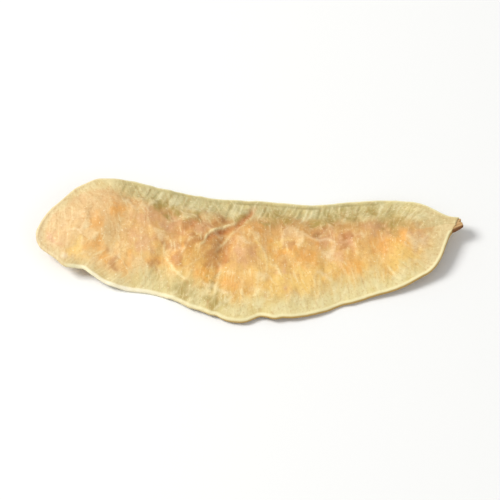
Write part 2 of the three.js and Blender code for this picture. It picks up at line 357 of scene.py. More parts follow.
def corners(piece):
    """A piece's vertices in millimetres, one row each."""
    flat = np.zeros(len(piece.data.vertices) * 3)
    piece.data.vertices.foreach_get("co", flat)
    return flat.reshape(-1, 3) / MM


def facing(piece):
    """A piece's vertex normals, one row each."""
    flat = np.zeros(len(piece.data.vertices) * 3)
    piece.data.vertex_normals.foreach_get("vector", flat)
    return flat.reshape(-1, 3)


def paint(piece, name, values):
    """Lays a value from 0 to 1 on each vertex, for a material to read."""
    layer = piece.data.attributes.new(name, "FLOAT", "POINT")
    layer.data.foreach_set("value", np.clip(values, 0, 1).astype(np.float32))


def emboss(piece, heights, direction="NORMAL"):
    """Moves each vertex by its own height in millimetres, out if it is above 0 and in if not."""
    for way in (1, -1):
        most = max(float((way * heights).max()), MERGE)
        weights = np.clip(way * heights / most, 0, 1)
        group = piece.vertex_groups.new(name="emboss")
        for index in np.nonzero(weights > SLIGHT)[0]:
            group.add([int(index)], float(weights[index]), "REPLACE")
        shape_with(piece, "DISPLACE", vertex_group=group.name, strength=way * most * MM,
                   direction=direction, mid_level=0)
        piece.vertex_groups.remove(piece.vertex_groups["emboss"])


def smoothstep(values, start, end):
    """0 up to the start, 1 from the end on, and an even S between them."""
    share = np.clip((values - start) / (end - start), 0, 1)
    return share * share * (3 - 2 * share)


def bell(values, middle, width):
    """1 at the middle, falling off to both sides over the width."""
    return np.exp(-(((values - middle) / width) ** 2))


# ---------------------------------------------------------------------------------------------
# The skin: the CAD solid's own surface, made fine.

def skin_blank():
    """A copy of the CAD pod as clean quads, cut off along the lip at the stalk's neck."""
    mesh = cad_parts["pod"].data.copy()
    mesh.name = "pod_skin"
    piece = bpy.data.objects.new("pod_skin", mesh)
    bpy.context.scene.collection.objects.link(piece)
    only(piece)
    bpy.ops.object.mode_set(mode="EDIT")
    bpy.ops.mesh.select_all(action="SELECT")
    bpy.ops.mesh.remove_doubles(threshold=MERGE * MM)
    bpy.ops.mesh.customdata_custom_splitnormals_clear()
    bpy.ops.mesh.tris_convert_to_quads(face_threshold=QUAD_BEND, shape_threshold=QUAD_BEND)
    bpy.ops.mesh.select_mode(type="FACE")
    lip = Vector((NECK[0], NECK[1], 0)) * MM
    back = Vector(LIP_FACES).normalized() * LIP_EDGE * MM
    for place, cut_off in ((lip - back, False), (lip, True)):
        bpy.ops.object.mode_set(mode="OBJECT")
        for face in mesh.polygons:
            face.select = face.center.y > NECK_FROM * MM
        bpy.ops.object.mode_set(mode="EDIT")
        bpy.ops.mesh.bisect(
            plane_co=place, plane_no=LIP_FACES, clear_outer=cut_off, use_fill=cut_off,
            threshold=MERGE * MM,
        )
    bpy.ops.object.mode_set(mode="OBJECT")
    return piece


def lengthwise_edge(mesh, vertex):
    """The edge that leaves a vertex most nearly along X."""
    meeting = [edge for edge in mesh.edges if vertex in edge.vertices]
    def reach(edge):
        return abs(mesh.vertices[edge.vertices[0]].co.x - mesh.vertices[edge.vertices[1]].co.x)
    return max(meeting, key=reach)


def mark_rim(piece):
    """Marks the line where the two valves meet as a seam, and unfolds the valves."""
    mesh = piece.data
    place = corners(piece)
    rim_starts = [int(place[:, 1].argmin()), int(place[:, 1].argmax())]
    only(piece)
    bpy.ops.object.mode_set(mode="EDIT")
    bpy.ops.mesh.select_mode(type="EDGE")
    bpy.ops.mesh.select_all(action="DESELECT")
    bpy.ops.object.mode_set(mode="OBJECT")
    for vertex in rim_starts:
        lengthwise_edge(mesh, vertex).select = True
    bpy.ops.object.mode_set(mode="EDIT")
    bpy.ops.mesh.loop_multi_select(ring=False)
    bpy.ops.mesh.mark_seam()
    bpy.ops.object.mode_set(mode="OBJECT")
    cap = max(mesh.polygons, key=lambda face: face.center.x)
    for edge in mesh.edges:
        edge.use_seam = edge.use_seam or edge.key in cap.edge_keys
    for layer in list(mesh.uv_layers):
        mesh.uv_layers.remove(layer)
    mesh.uv_layers.new(name="OFBake")
    bpy.ops.object.mode_set(mode="EDIT")
    bpy.ops.mesh.select_all(action="SELECT")
    bpy.ops.uv.unwrap(method="ANGLE_BASED", margin=0.01)
    bpy.ops.object.mode_set(mode="OBJECT")


def make_fine(piece):
    """Rounds the skin and cuts it into cells of about 0.13 mm."""
    shape_with(piece, "SUBSURF", levels=1, render_levels=1)
    only(piece)
    bpy.ops.object.mode_set(mode="EDIT")
    bpy.ops.mesh.select_all(action="SELECT")
    bpy.ops.mesh.subdivide(number_cuts=2, smoothness=0)
    bpy.ops.object.mode_set(mode="OBJECT")
    shape_with(piece, "SMOOTH", factor=0.5, iterations=4)


def rim_sides(piece):
    """The seam as two lines of points, from the style tip to the lip: (belly, hollow)."""
    mesh = piece.data
    place = corners(piece)
    on_cap = (place[:, :2] - NECK) @ LIP_FACES[:2] > -CORD_RADIUS / 2
    on_cap &= place[:, 1] > NECK_FROM
    beside = {}
    for edge in mesh.edges:
        if edge.use_seam and not on_cap[list(edge.vertices)].all():
            a, b = edge.vertices
            beside.setdefault(a, []).append(b)
            beside.setdefault(b, []).append(a)
    tip = min(beside, key=lambda i: place[i][0])
    sides = []
    for first in beside[tip]:
        line = [tip, first]
        while True:
            onward = [i for i in beside[line[-1]] if i != line[-2]]
            if not onward:
                break
            line.append(onward[0])
        sides.append(place[line])
    belly, hollow = sorted(sides, key=lambda line: line[:, 1].mean())
    # The belly line runs straight on to the lip's lower corner, as over its last few points.
    ahead = belly[-1] - belly[-4]
    ahead *= RIM_RUN_ON / np.linalg.norm(ahead)
    run_on = belly[-1] + np.linspace(0.1, 1, 10)[:, None] * ahead
    return np.concatenate([belly, run_on]), hollow


def tree_of(points):
    """A search tree of points in plan."""
    made = kdtree.KDTree(len(points))
    for index, (x, y) in enumerate(points):
        made.insert((x, y, 0), index)
    made.balance()
    return made


def nearest(points, tree):
    """For each point, its distance to the nearest one in a tree, and which one that is."""
    found = [tree.find((x, y, 0)) for x, y in points]
    return np.array([f[2] for f in found]), np.array([f[1] for f in found])


def runs_of(line):
    """How far along a line each of its points lies."""
    steps = np.linalg.norm(np.diff(line[:, :2], axis=0), axis=1)
    return np.concatenate([[0], np.cumsum(steps)])


def run_beside(line, plan):
    """Each vertex's distance from a line, and how far along the line it lies."""
    away, at = nearest(plan, tree_of(line[:, :2]))
    ahead = np.gradient(line[:, :2], axis=0)
    ahead /= np.linalg.norm(ahead, axis=1)[:, None]
    past = ((plan - line[at, :2]) * ahead[at]).sum(axis=1)
    return away, runs_of(line)[at] + past


class Skin:
    """The skin, and where each of its vertices lies on it, in millimetres: x and y in plan,
    inward from the nearer rim, rim_run along that rim, and along and across the grain."""

    def __init__(self, piece):
        self.piece = piece
        self.measure()

    def measure(self):
        self.belly, self.hollow = rim_sides(self.piece)
        place = corners(self.piece)
        self.plan = place[:, :2]
        self.x, self.y = self.plan.T
        self.tilt = facing(self.piece)[:, 2]
        self.upper = self.tilt > 0
        self.valve = np.where(self.upper, 0.0, 7.0)      # keeps the two valves' noises apart
        from_belly, belly_run = run_beside(self.belly, self.plan)
        from_hollow, hollow_run = run_beside(self.hollow, self.plan)
        self.on_belly = from_belly < from_hollow
        self.inward = np.minimum(from_belly, from_hollow)
        self.rim_run = np.where(self.on_belly, belly_run, hollow_run)
        share = from_belly / (from_belly + from_hollow + MERGE)
        belly_part = belly_run / runs_of(self.belly)[-1] * (1 - share)
        hollow_part = hollow_run / runs_of(self.hollow)[-1] * share
        # The grain follows the two rims, but runs straight on where they meet at the style.
        bent = smoothstep(self.x, *GRAIN_BENDS)
        self.along = bent * LENGTH * (belly_part + hollow_part)
        self.along += (1 - bent) * (self.x + LENGTH / 2)
        self.across = bent * WIDTH * (share - 0.5) + (1 - bent) * (self.y - STYLE_HEIGHT)


# ---------------------------------------------------------------------------------------------
# Veins and wrinkles, as lines of points with a strength each.

def turned(direction, angle):
    """A direction in plan turned by an angle."""
    c, s = math.cos(angle), math.sin(angle)
    return np.array([c * direction[0] - s * direction[1], s * direction[0] + c * direction[1]])


def grow_veins(side, inward_turn, other_side, rng):
    """Veins that leave one suture, lean towards the stalk, wander and fork as they go in."""
    run = runs_of(side)
    beside = 4               # a rim's direction is taken over this many points each way
    rim_tree = tree_of(np.concatenate([side[:, :2], other_side[:, :2]]))
    points = []
    for start in np.arange(VEIN_ENDS[0], run[-1] - VEIN_ENDS[1], VEIN_PITCH):
        at = np.searchsorted(run, start + rng.uniform(-VEIN_JITTER, VEIN_JITTER))
        at = int(np.clip(at, beside, len(side) - 1 - beside))
        along = side[at + beside, :2] - side[at - beside, :2]
        along = along / np.linalg.norm(along)
        heading = turned(along, inward_turn - math.copysign(VEIN_LEAN, inward_turn))
        first = side[at, :2] + heading * GROOVE_INWARD
        growing = [(first, heading, rng.uniform(*VEIN_LENGTHS), rng.uniform(*VEIN_STRENGTHS))]
        while growing:
            spot, heading, length, strength = growing.pop()
            steps = int(length / VEIN_STEP)
            for step in range(steps):
                heading = turned(heading, rng.normal(0, VEIN_TURN))
                spot = spot + heading * VEIN_STEP
                if rim_tree.find((spot[0], spot[1], 0))[2] < 2 * CORD_RADIUS:
                    break
                points.append((spot[0], spot[1], strength * (1 - (step / steps) ** 2)))
                if rng.random() < FORK_CHANCE and length > FORKS_FROM:
                    fork = turned(heading, rng.choice([-1, 1]) * rng.uniform(*FORK_ANGLES))
                    growing.append((spot, fork, length * FORK_LENGTH, strength * FORK_STRENGTH))
    return points


def laid_line(knots, rng):
    """Points along a listed line, rounded at its knots, a little unsteady and fading at its
    ends."""
    knots = np.array(knots)
    knots = np.concatenate([[2 * knots[0] - knots[1]], knots, [2 * knots[-1] - knots[-2]]])
    points = []
    for before, start, end, after in zip(knots, knots[1:], knots[2:], knots[3:]):
        steps = max(2, int(np.linalg.norm(end - start) / VEIN_STEP))
        for share in np.arange(steps) / steps:
            bend = (end - before) * share + (2 * before - 5 * start + 4 * end - after) * share ** 2
            curl = (3 * start - before - 3 * end + after) * share ** 3
            points.append(start + (bend + curl) / 2)
    points = np.array(points)
    drift = np.cumsum(rng.normal(0, LINE_SWAY / 3, points.shape), axis=0)
    drift -= np.linspace(0, 1, len(points))[:, None] * drift[-1]
    # Strongest in the middle, and still just there at the ends.
    strength = np.sin(np.pi * np.linspace(LINE_TIP, 1 - LINE_TIP, len(points))) ** 0.6
    return np.column_stack([points + drift, strength])


def nearness(plan, lines, width):
    """Each vertex's share of the nearest line: its strength, less further off."""
    lines = np.array(lines)
    away, which = nearest(plan, tree_of(lines[:, :2]))
    return lines[which, 2] * bell(away, 0, width)


def laid_over(skin, lines, width, rng):
    """Listed lines on the upper valve, each as strong as it says, 0 away from them all."""
    laid = np.zeros(len(skin.x))
    for strength, knots in lines:
        line = laid_line(knots, rng)
        share = strength * nearness(skin.plan[skin.upper], line, width)
        laid[skin.upper] = np.maximum(laid[skin.upper], share)
    return laid


# ---------------------------------------------------------------------------------------------
# The relief of the skin: each function gives heights in millimetres, and lays the values that
# the skin's colours follow there.

def noise_over(first, second, third=0.0, pattern=noise.noise):
    """A noise over two measures of the skin, each divided by the size of its lumps. The third
    is a layer of the noise: patterns on different layers have nothing in common."""
    spots = np.broadcast_arrays(first, second, third)
    return np.array([pattern(spot) for spot in zip(*map(np.ravel, spots))])


def billows(spot):
    """Soft noise from about -1 to 1 with finer noise on it."""
    return noise.fractal(spot, 1.0, 2.0, 3)


def ridge(spot):
    """1 on the sharp edges between cells, down to 0 in the middle of each."""
    near, far = noise.voronoi(spot)[0][:2]
    return 1 - min(1, (far - near) / RIDGE_FOOT)


def loosen_rim(skin):
    """The suture isn't drawn with a ruler: it sways and dips, most near the style end."""
    x, y = skin.plan.T
    to_box = (np.array([LENGTH, WIDTH]) / 2 - abs(skin.plan)).min(axis=1)
    room = np.clip(to_box / BOX_ROOM, 0, 1)
    lively = 1 - RIM_CALM * smoothstep(x, *RIM_CALMS)
    sway = lively * RIPPLE_SWAY * noise_over(x / RIPPLE, y / RIPPLE, 2.0)
    for side, waves in ((skin.on_belly, BELLY_WAVES), (~skin.on_belly, HOLLOW_WAVES)):
        for middle, half_width, height in waves:
            sway += side * height * bell(x, middle, half_width)
    dip = DIP_RISE * noise_over(x / RIM_DIP, y / RIM_DIP, 5.0)
    dip += RIPPLE_RISE * noise_over(x / RIPPLE, y / RIPPLE, 6.0)
    outward = (sway > 0) != skin.on_belly
    emboss(skin.piece, np.where(outward, room, 1) * bell(skin.inward, 0, SWAY_REACH) * sway, "Y")
    emboss(skin.piece, lively * bell(skin.inward, 0, RISE_REACH) * dip, "Z")


def crumple(skin):
    """The valves are crumpled over the seeds: soft billows, puckers, and sharp ridges that
    come and go."""
    x, y = skin.plan.T
    inside = smoothstep(skin.inward, *CRUMPLES_RISE) * (1 - smoothstep(x, *CRUMPLES_END))
    billow = noise_over(x / BILLOW, y / BILLOW, skin.valve + 1, billows)
    drift = RIDGE_DRIFT * noise_over(x / DRIFT, y / DRIFT, skin.valve + 3)
    lean = skin.along + RIDGE_LEAN * skin.across + drift
    ridges = noise_over(lean / RIDGE, (skin.across + drift) / RIDGE_LENGTH, skin.valve, ridge)
    ridges *= smoothstep(noise_over(x / RIDGED, y / RIDGED, skin.valve + 11), -0.25, 0.35)
    puckers = noise_over(x / PUCKER, y / PUCKER, skin.valve + 2, billows)
    # Painted shade, brown, in the hollows between the billows.
    paint(skin.piece, "sunk_shade", inside * (0.5 - 0.5 * billow - 0.4 * ridges))
    # A painted highlight on the ridges' crests.
    paint(skin.piece, "crest_highlight", inside * smoothstep(ridges, *CREST))
    relief = inside * (BILLOW_HEIGHT * billow + RIDGE_HEIGHT * ridges)
    return relief + PUCKER_HEIGHT * smoothstep(skin.inward, *PUCKERS_RISE) * puckers


def suture(skin):
    """A low bead with a groove inside it, the fine line where the two valves meet, and the
    trough that the web has dried into on the hollow side."""
    on_hollow = ~skin.on_belly
    patchy = np.clip(0.5 + 0.8 * noise_over(skin.along / GROOVE_PATCH, skin.valve), 0, 1.2)
    full = on_hollow * smoothstep(skin.x, *FULL_GROOVE_BEGINS)
    full *= 1 - smoothstep(skin.x, *FULL_GROOVE_ENDS)
    grooved = FAINT_GROOVE * smoothstep(skin.x, *GROOVE_BEGINS) + full
    groove = patchy * grooved * bell(skin.inward, GROOVE_INWARD, GROOVE_WIDTH)
    # The groove's paint is painted shade inside the raised rim.
    paint(skin.piece, "groove", groove * on_hollow * skin.upper)
    trough = bell(skin.inward, TROUGH_INWARD, TROUGH_WIDTH) * on_hollow
    trough *= smoothstep(skin.along, *TROUGH_BEGINS) * (1 - smoothstep(skin.x, *TROUGH_ENDS))
    relief = BEAD_HEIGHT * bell(skin.inward, BEAD_INWARD, BEAD_WIDTH) - GROOVE_DEPTH * groove
    relief -= JOIN_DEPTH * bell(skin.tilt, 0, JOIN_TILT) * (skin.inward < JOIN_WIDTH)
    return relief - np.where(skin.upper, TROUGH_DEPTH, -TROUGH_DEPTH) * trough


def cross_lines(skin):
    """Fine lines across the margin, which lean towards the stalk and fade towards the seeds.
    They are plainest on the hollow side, and faint round the style end."""
    side = skin.valve + 2 * skin.on_belly
    leaning = skin.rim_run + STRIA_LEAN * np.where(skin.on_belly, -1, 1) * skin.inward
    fine = noise_over(leaning / STRIA_PITCH, skin.inward / STRIA_LENGTH, side)
    broad = noise_over(leaning / (STRIA_GROUP * STRIA_PITCH), skin.inward / STRIA_LENGTH, side + 5)
    reach = smoothstep(skin.inward, *STRIAE_BEGIN) * (1 - smoothstep(skin.inward, *STRIAE_END))
    reach *= np.where(skin.on_belly, STRIAE_ON_BELLY, 1.0)
    reach *= 1 - 0.7 * (1 - smoothstep(skin.along, *STRIAE_GROW))
    reach *= 1 - 0.5 * smoothstep(skin.x, *STRIAE_FADE)
    reach *= smoothstep(abs(skin.across), *STRIAE_APART)
    paint(skin.piece, "stria", 0.5 + reach * (0.6 * fine + 0.35 * broad))
    return STRIA_HEIGHT * reach * fine


def veins_and_wrinkles(skin):
    """Veins on each valve, then the folds and wrinkles of the upper one, and the style's scar."""
    rng = np.random.default_rng(VEIN_SEED)
    broken = noise_over(skin.along / LINE_BREAK, skin.across / LINE_BREAK)
    broken = np.clip(0.85 + 0.9 * broken, 0.2, 1)
    veins = np.zeros(len(skin.x))
    for side in (skin.upper, ~skin.upper):
        lines = grow_veins(skin.belly, math.pi / 2, skin.hollow, rng)
        lines += grow_veins(skin.hollow, -math.pi / 2, skin.belly, rng)
        veins[side] = nearness(skin.plan[side], lines, VEIN_WIDTH)
    veins *= broken
    wrinkles = np.minimum(1, broken * laid_over(skin, WRINKLES, WRINKLE_WIDTH, rng))
    folds = laid_over(skin, FOLDS, FOLD_WIDTH, rng)
    from_scar = np.hypot(skin.x - STYLE_SCAR[0], skin.y - STYLE_SCAR[1])
    scar = bell(from_scar, 0, SCAR_RADIUS) * skin.upper
    paint(skin.piece, "vein", veins)
    # The wrinkles are pale: partly the skin's own pallor, partly a painted highlight.
    paint(skin.piece, "wrinkle_and_highlight", wrinkles)
    # The folds are darkened with painted shade, red-brown.
    paint(skin.piece, "fold_shade", folds)
    paint(skin.piece, "scar", scar)
    raised = VEIN_HEIGHT * veins + WRINKLE_HEIGHT * wrinkles
    return raised - FOLD_DEPTH * folds + SCAR_HEIGHT * scar


# ---------------------------------------------------------------------------------------------
# The skin's colours: each function lays the values from 0 to 1 that some of its tints follow.

def gathered(skin, spots):
    """The values of soft spots with ragged edges, drawn out a little across the pod."""
    x, y = skin.plan.T
    sway_x = SPOT_SWAY * noise_over(x / SPOT_LOBE, y / SPOT_LOBE, 4.0, billows)
    sway_y = SPOT_SWAY * noise_over(x / SPOT_LOBE, y / SPOT_LOBE, 8.0, billows)
    along, across = skin.along / SPOT_STREAK_WIDTH, skin.across / SPOT_STREAK_LENGTH
    streaks = noise_over(along, across, 31.0, billows)
    mask = np.zeros(len(x))
    for spot_x, spot_y, radius in spots:
        away = np.hypot(x + sway_x - spot_x, (y + sway_y - spot_y) / SPOT_STRETCH)
        mask = np.maximum(mask, bell(away, 0, radius))
    return mask * smoothstep(mask + 0.35 * streaks, 0, 0.9)


def tint_margin(skin, streaks):
    """The flat margin: straw, pale in patches, browner round the style end, and grey-green
    where it has kept some of its green, deepened with painted shade. It ends in streaks across the pod."""
    x, y = skin.plan.T
    width = np.where(skin.on_belly, BELLY_MARGIN, HOLLOW_MARGIN)
    width = STYLE_MARGIN + (width - STYLE_MARGIN) * smoothstep(skin.along, *MARGIN_WIDENS)
    narrow = 1 - np.where(skin.on_belly, 0.3 * bell(x, *BELLY_NARROWS), 0.28 * bell(x, *HOLLOW_NARROWS))
    width *= narrow + 0.35 * noise_over(x / MARGIN_LOBE, y / MARGIN_LOBE, 21.0)
    margin = 1 - smoothstep(skin.inward / width + 0.25 * streaks, -0.1, 1.9)
    margin = np.maximum(margin, smoothstep(x + 0.5 * streaks, *NECK_IS_MARGIN))
    paint(skin.piece, "margin", margin)
    style_end = 1 - smoothstep(skin.along, *STYLE_END)
    paint(skin.piece, "style_end", style_end)
    style_margin = style_end * margin * (0.6 + 0.5 * bell(x, *STYLE_EDGE))
    paint(skin.piece, "style_margin", style_margin)
    pale = 0.4 * smoothstep(x, *BLOOM_TO_NECK) + 0.5 * bell(x, *BLOOM_ON_BELLY)
    pale = 0.5 + skin.on_belly * pale + 0.5 * ~skin.on_belly * style_end
    patches = 1.2 * noise_over(x / BLOOM_LOBE, y / BLOOM_LOBE, 24.0)
    paint(skin.piece, "bloom", margin * (pale + patches))
    # Grey-green: partly the margin's own green, partly painted shade.
    sage_and_shade = ~skin.on_belly * smoothstep(x, *SAGE_BEGINS) * (1 - 0.45 * smoothstep(x, *SAGE_FADES))
    sage_and_shade += skin.on_belly * bell(x, *SAGE_ON_BELLY) * 0.65
    sage_and_shade *= 1 - smoothstep(skin.inward / narrow, *SAGE_ENDS)
    paint(skin.piece, "sage_and_shade", sage_and_shade * (0.8 + 0.6 * noise_over(x / SAGE_LOBE, y / SAGE_LOBE, 27.0)))
    paint(skin.piece, "neck", smoothstep(x + 0.8 * streaks, *NECK_PALES))


def tint_web(skin, streaks):
    """The web over the seeds: a browner half, a yellower half, and painted shade, brown, on the
    slope up to the hollow side's margin."""
    x, y = skin.plan.T
    paint(skin.piece, "hollow_half", smoothstep(skin.across + 1.5 * streaks, *HOLLOW_HALF))
    paint(skin.piece, "belly_half", smoothstep(-skin.across + 1.5 * streaks, *BELLY_HALF))
    # Painted shade along the slope inside the hollow side's margin.
    slope = ~skin.on_belly * bell(skin.inward, SLOPE_INWARD, SLOPE_WIDTH)
    slope *= smoothstep(x, *SLOPE_BEGINS)
    lobes = 0.85 + 0.8 * noise_over(x / SLOPE_LOBE, y / SLOPE_LOBE, 41.0)
    paint(skin.piece, "hollow_slope_shade", slope * lobes)


def tint_cord(skin):
    """The suture cord: pale on top, partly a painted highlight on the belly, and painted shade, ochre,
    where the belly side turns down.
    """
    x = skin.x
    hollow_cord = 1 - smoothstep(skin.inward, *HOLLOW_CORD)
    hollow_cord *= 0.4 + 0.6 * smoothstep(x, *HOLLOW_CORD_PALES)
    reach = BELLY_CORD + 0.12 * smoothstep(x, *BELLY_CORD_WIDENS)
    belly_cord = 1 - smoothstep(skin.inward, reach - BELLY_CORD_EDGE, reach)
    belly_cord *= 0.2 + 0.8 * smoothstep(x, *BELLY_CORD_PALES)
    paint(skin.piece, "cord", np.where(skin.on_belly, belly_cord, hollow_cord))
    patch_length, patch_width = CORD_PATCH
    patches = noise_over(skin.rim_run / patch_length, skin.inward / patch_width, 51.0)
    # The palest stretch of the belly cord: partly its own pale cream, partly a painted highlight.
    palest_and_lit = skin.on_belly * bell(x, *CORD_PALEST_AND_LIT)
    paint(skin.piece, "pale_cord_and_highlight", (0.85 + 0.7 * patches) * belly_cord * palest_and_lit)
    # Painted shade, ochre, on the face where the belly rim turns down, and on its very edge.
    shaded_face = (1 - smoothstep(skin.tilt, *SHADE_TILT)) * (skin.inward < SHADE_INWARD)
    rim = (1 - smoothstep(skin.inward, *RIM_SHADE)) * smoothstep(x, *RIM_SHADE_BEGINS)
    shaded_face = np.maximum(shaded_face, rim) * skin.on_belly * smoothstep(skin.along, *SHADE_BEGINS)
    paint(skin.piece, "painted_shade_face", shaded_face)


def lay_grain(skin):
    """Gives the skin a UV map in millimetres along and across its grain."""
    layer = skin.piece.data.uv_layers.new(name="grain")
    loops = np.zeros(len(skin.piece.data.loops), dtype=int)
    skin.piece.data.loops.foreach_get("vertex_index", loops)
    layer.data.foreach_set("uv", np.column_stack([skin.along, skin.across])[loops].ravel())


pod_skin = skin_blank()
mark_rim(pod_skin)
make_fine(pod_skin)
skin = Skin(pod_skin)
loosen_rim(skin)
skin.measure()
emboss(pod_skin, crumple(skin) + suture(skin) + cross_lines(skin) + veins_and_wrinkles(skin))
streaks = noise_over(skin.along / STREAK_WIDTH, skin.across / STREAK_LENGTH, 17.0, billows)
tint_margin(skin, streaks)
tint_web(skin, streaks)
tint_cord(skin)
for tint, spots in TINTS.items():
    paint(pod_skin, tint, gathered(skin, spots))
lay_grain(skin)
only(pod_skin)
bpy.ops.object.shade_smooth()


# ---------------------------------------------------------------------------------------------
# The stalk's torn stub, which comes out from inside the lip.

def middle_height(place, x, y, reach):
    """Half way between the CAD pod's faces near a place in plan."""
    near = place[np.hypot(place[:, 0] - x, place[:, 1] - y) < reach, 2]
    return (near.min() + near.max()) / 2


def stub_rod(length):
    """A flattened rod along X, drawn out ring by ring, which narrows towards its end."""
    bpy.ops.object.select_all(action="DESELECT")
    bpy.ops.mesh.primitive_circle_add(
        vertices=STUB_SIDES, radius=STUB_HALF_WIDTH * MM, fill_type="NGON",
        rotation=(0, math.radians(90), 0),
    )
    rod = bpy.context.object
    rod.name = "stalk_stub"
    bpy.ops.object.transform_apply(location=False, rotation=True, scale=True)
    bpy.ops.object.mode_set(mode="EDIT")
    bpy.ops.mesh.select_all(action="SELECT")
    bpy.ops.transform.resize(value=(1, 1, STUB_HALF_DEPTH / STUB_HALF_WIDTH))
    step = length / STUB_RINGS * MM
    taper = (STUB_END_HALF_WIDTH / STUB_HALF_WIDTH) ** (1 / STUB_RINGS)
    for _ in range(STUB_RINGS):
        bpy.ops.mesh.extrude_region_move(TRANSFORM_OT_translate={"value": (step, 0, 0)})
        bpy.ops.transform.resize(value=(1, taper, STUB_RING_DEPTH))
    for _ in range(STUB_CAP_RINGS):
        bpy.ops.mesh.extrude_region_move(TRANSFORM_OT_translate={"value": (0, 0, 0)})
        bpy.ops.transform.resize(value=(1, STUB_CAP_RING, STUB_CAP_RING))
    bpy.ops.mesh.poke()
    bpy.ops.mesh.select_all(action="SELECT")
    bpy.ops.mesh.quads_convert_to_tris()
    bpy.ops.mesh.subdivide(number_cuts=1)
    bpy.ops.object.mode_set(mode="OBJECT")
    return rod


def tear(rod, length):
    """Ridges the rod lengthwise, and tears its end into two blunt prongs with a ragged edge."""
    x, y, z = corners(rod).T
    turn = np.arctan2(z / STUB_HALF_DEPTH, y / STUB_HALF_WIDTH)
    side_x, side_y = np.cos(turn), np.sin(turn)
    ridges = noise_over(side_x / STUB_RIDGE, side_y / STUB_RIDGE, x / STUB_RIDGE_LENGTH)
    ridges *= x < length - MERGE
    emboss(rod, STUB_RIDGE_HEIGHT * ridges - STUB_SINK * (1 - smoothstep(x, *STUB_BURIED)))
    x, y, z = corners(rod).T
    at_end = smoothstep(x, length - TEAR_FROM, length)
    rag_width, rag_thickness = RAG
    ragged = RAG_DEPTH * noise_over(y / rag_width, z / rag_thickness, 3.0)
    ragged += SHRED_DEPTH * noise_over(y / SHRED, z / SHRED, 9.0)
    prongs = NOTCH_DEPTH * bell(y, *NOTCH) + CORNER_DEPTH * smoothstep(abs(y), *CORNER)
    emboss(rod, at_end * np.minimum(0, ragged - prongs), "X")


def fibre(rng, length):
    """A stiff thread that sticks out of the torn end, as a long thin cone along X."""
    wide, deep = FIBRES_WITHIN
    y = rng.uniform(-wide, wide) * STUB_END_HALF_WIDTH
    z = rng.uniform(-deep, deep) * STUB_HALF_DEPTH
    reach = rng.uniform(*FIBRE_LENGTHS)
    tilt = math.radians(90 + rng.normal(0, FIBRE_STRAY[0]))
    turn = math.radians(y * FIBRE_SPREAD + rng.normal(0, FIBRE_STRAY[1]))
    bpy.ops.object.select_all(action="DESELECT")
    bpy.ops.mesh.primitive_cone_add(
        vertices=8, radius1=FIBRE_RADIUS * MM, radius2=FIBRE_TIP_RADIUS * MM, depth=reach * MM,
        location=((length - FIBRE_ROOT) * MM, y * MM, z * MM), rotation=(0, tilt, turn),
    )
    thread = bpy.context.object
    bpy.ops.object.transform_apply(location=True, rotation=True, scale=True)
    return thread


def stalk_stub():
    """The stub in its place: a torn rod with its fibres, half way up the CAD pod's neck."""
    cad = corners(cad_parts["pod"])
    ends = [np.array([x, y, middle_height(cad, x, y, STUB_NEAR)]) for x, y in (STUB_START, STUB_END)]
    length = float(np.linalg.norm(ends[1] - ends[0]))
    axis = (ends[1] - ends[0]) / length
    rng = np.random.default_rng(FIBRE_SEED)
    rod = stub_rod(length)
    tear(rod, length)
    threads = [fibre(rng, length) for _ in range(FIBRES)]
    only(rod)
    for thread in threads:
        thread.select_set(True)
    bpy.ops.object.join()
    rod.rotation_mode = "QUATERNION"
    rod.rotation_quaternion = Vector(axis).to_track_quat("X", "Z")
    rod.location = Vector(ends[0]) * MM
    bpy.ops.object.transform_apply(location=True, rotation=True, scale=True)
    place = corners(rod) - ends[0]
    run = place @ axis
    across = place @ np.cross([0, 0, 1], axis)           # less than 0 towards the belly
    half_width = STUB_HALF_WIDTH * (STUB_END_HALF_WIDTH / STUB_HALF_WIDTH) ** (run / length)
    # Painted shade, dark brown, on the stub's belly side.
    paint(rod, "shaded_side", smoothstep(-across / half_width, *STUB_SHADED_SIDE))
    paint(rod, "torn", smoothstep(length - run, *STUB_PALES))
    bpy.ops.object.shade_smooth()
    return rod


def settle(*pieces):
    """Presses the finished pieces back to the CAD solid's height, the lowest on the floor."""
    z = corners(pieces[0])[:, 2]
    share = HEIGHT / (z.max() - z.min())
    for piece in pieces:
        only(piece)
        piece.scale.z = share
        piece.location.z = -share * z.min() * MM
        bpy.ops.object.transform_apply(location=True, rotation=True, scale=True)


stub = stalk_stub()
settle(pod_skin, stub)


# ---------------------------------------------------------------------------------------------
# Materials.

FACTOR, FIRST, SECOND, MIXED = 0, 6, 7, 2    # the sockets of a colour Mix node
DRY_PLANT_IOR = 1.45
SKIN_ROUGHNESS = (0.5, 0.68)                 # where it is waxy, and where that has worn off
STALK_ROUGHNESS = 0.75
THREAD_WIDTH = 0.12                          # the stalk's threads
THREAD_LENGTH = 1.6
SKIN_GROUND = "#e0ad5e"
STALK_GROUND = "#c0955f"

